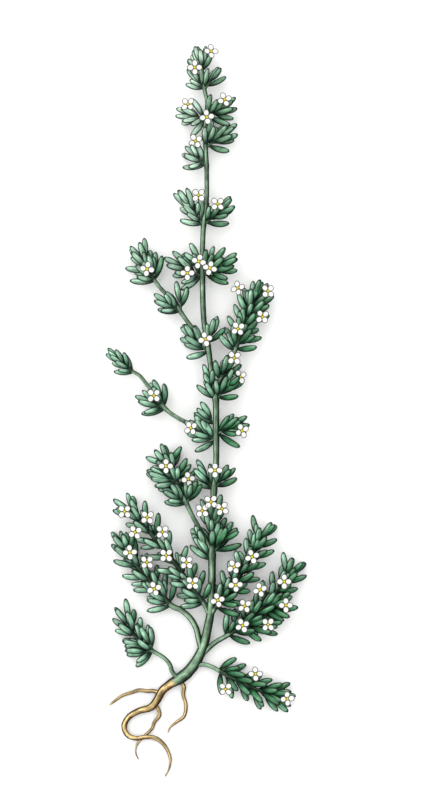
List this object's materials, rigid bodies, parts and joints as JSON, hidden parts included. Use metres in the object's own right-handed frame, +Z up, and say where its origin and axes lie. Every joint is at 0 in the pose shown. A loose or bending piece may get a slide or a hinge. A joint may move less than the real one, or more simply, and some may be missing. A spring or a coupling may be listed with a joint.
{
  "type": "whole saltwort plant",
  "caption": "Whole uprooted saltwort lying flat: jointed stem with tufts of fleshy leaves, leafy branches, small white four-petalled blooms and a tan taproot.",
  "frame": {"origin": "on the surface that the plant lies on, under the centre of its bounding box", "axes": "+Y along the plant towards the tip of its main stem, +X to the right as seen from above, +Z up, away from the surface"},
  "size_m": [0.121, 0.4399, 0.0202],
  "materials": {
    "leaf": "fleshy plant skin, softly satin",
    "petal": "matte petal",
    "root": "dry root bark"
  },
  "bodies": {
    "root": {"taproot": "root", "main_stem": "leaf", "upper_left_branch": "leaf", "middle_left_branch": "leaf", "upper_right_branch": "leaf", "lower_left_branch": "leaf", "inner_left_branch": "leaf", "outer_left_branch": "leaf", "base_left_branch": "leaf", "inner_right_branch": "leaf", "outer_right_branch": "leaf", "base_right_branch": "leaf", "bloom_01": "petal", "bloom_02": "petal", "bloom_03": "petal", "bloom_04": "petal", "bloom_05": "petal", "bloom_06": "petal", "bloom_07": "petal", "bloom_08": "petal", "bloom_09": "petal", "bloom_10": "petal", "bloom_11": "petal", "bloom_12": "petal", "bloom_13": "petal", "bloom_14": "petal", "bloom_15": "petal", "bloom_16": "petal", "bloom_17": "petal", "bloom_18": "petal", "bloom_19": "petal", "bloom_20": "petal", "bloom_21": "petal", "bloom_22": "petal", "bloom_23": "petal", "bloom_24": "petal", "bloom_25": "petal", "bloom_26": "petal", "bloom_27": "petal", "bloom_28": "petal", "bloom_29": "petal", "bloom_30": "petal", "bloom_31": "petal", "bloom_32": "petal", "bloom_33": "petal", "bloom_34": "petal", "bloom_35": "petal", "bloom_36": "petal", "bloom_37": "petal", "bloom_38": "petal", "bloom_39": "petal", "bloom_40": "petal", "bloom_41": "petal", "bloom_42": "petal", "bloom_43": "petal", "bloom_44": "petal", "bloom_45": "petal", "bloom_46": "petal", "bloom_47": "petal", "bloom_48": "petal"}
  },
  "joints": []
}
